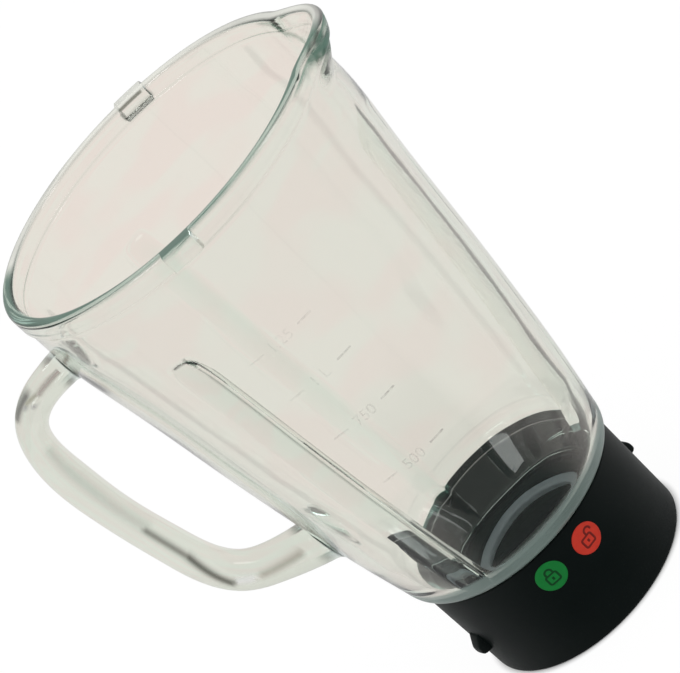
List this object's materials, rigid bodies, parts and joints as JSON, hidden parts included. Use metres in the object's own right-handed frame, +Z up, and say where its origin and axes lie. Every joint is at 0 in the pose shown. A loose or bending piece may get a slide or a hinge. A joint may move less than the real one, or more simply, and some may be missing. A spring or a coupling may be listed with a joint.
{
  "type": "blender jug",
  "caption": "Tapered pressed-glass blender jug with a side handle, pouring spout and stirring ribs, bonded into a black base collar that locks on to a mixer's drive.",
  "frame": {"origin": "centre of the open foot of the collar, on the jug's axis and on the surface it stands on", "axes": "+Z up along the jug's axis, +X to the pouring spout, -X to the handle, -Y to the measuring marks"},
  "size_m": [0.189, 0.15, 0.234],
  "materials": {
    "glass": "clear pressed soda-lime glass with a green edge tint",
    "collar_plastic": "fine-grained black moulding",
    "seal_rubber": "grey-blue silicone, satin"
  },
  "bodies": {
    "root": {"glass_jug": "glass", "base_collar": "collar_plastic", "seal_ring": "seal_rubber"}
  },
  "joints": []
}
